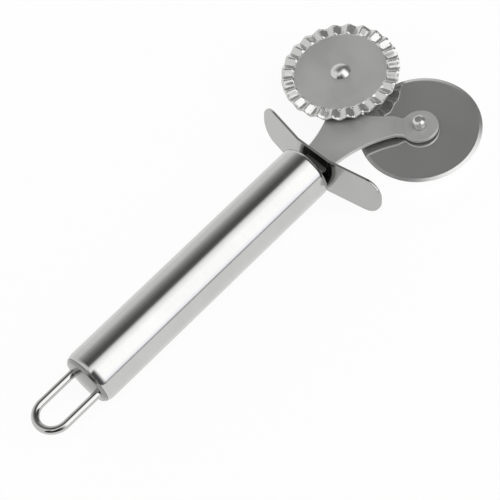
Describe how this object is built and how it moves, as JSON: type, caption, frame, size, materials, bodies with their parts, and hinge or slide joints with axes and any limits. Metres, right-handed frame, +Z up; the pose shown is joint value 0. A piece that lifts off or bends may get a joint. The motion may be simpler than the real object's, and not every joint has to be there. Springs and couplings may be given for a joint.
{
  "type": "pastry cutter wheel",
  "caption": "Hand-held double pastry wheel: a hollow steel handle with a hanging loop, a finger guard, and a fork that carries a plain and a fluted cutting wheel.",
  "frame": {"origin": "where the handle's axis crosses the axis of the hanging loop's round bend", "axes": "+X along the handle towards the wheels, +Y towards the fluted wheel's side, +Z up, square to the flat fork, on the side of the fork that carries the fluted wheel"},
  "size_m": [0.1941, 0.0813, 0.0206],
  "materials": {
    "handle_steel": "stainless tube, polished to a soft satin shine",
    "plug_plastic": "black moulded plastic",
    "wire_steel": "bright polished stainless wire",
    "sheet_steel": "stainless sheet, even satin, with polished cut edges",
    "guard_steel": "stainless sheet, polished",
    "wheel_steel": "stainless sheet, polished, with a ground cutting edge",
    "rivet_steel": "bright turned stainless"
  },
  "bodies": {
    "handle_and_fork": {"handle_tube": "handle_steel", "front_plug": "plug_plastic", "tang_pin": "rivet_steel", "end_cap": "handle_steel", "hanging_loop": "wire_steel", "fork_plate": "sheet_steel", "finger_guard": "guard_steel", "plain_wheel_rivet": "rivet_steel", "plain_wheel_spacer": "rivet_steel", "fluted_wheel_rivet": "rivet_steel", "fluted_wheel_spacer": "rivet_steel"},
    "plain_cutter": {"plain_wheel": "wheel_steel"},
    "fluted_cutter": {"fluted_wheel": "wheel_steel"}
  },
  "joints": [
    {"name": "plain_wheel_spin", "type": "hinge", "parent": "handle_and_fork", "child": "plain_cutter", "pos_m": [0.16413, -0.01872, -0.0031], "axis": [-0.041, -0.0506, 0.9979], "continuous": true},
    {"name": "fluted_wheel_spin", "type": "hinge", "parent": "handle_and_fork", "child": "fluted_cutter", "pos_m": [0.1634, 0.01872, 0.00281], "axis": [0, 0, 1], "continuous": true}
  ]
}
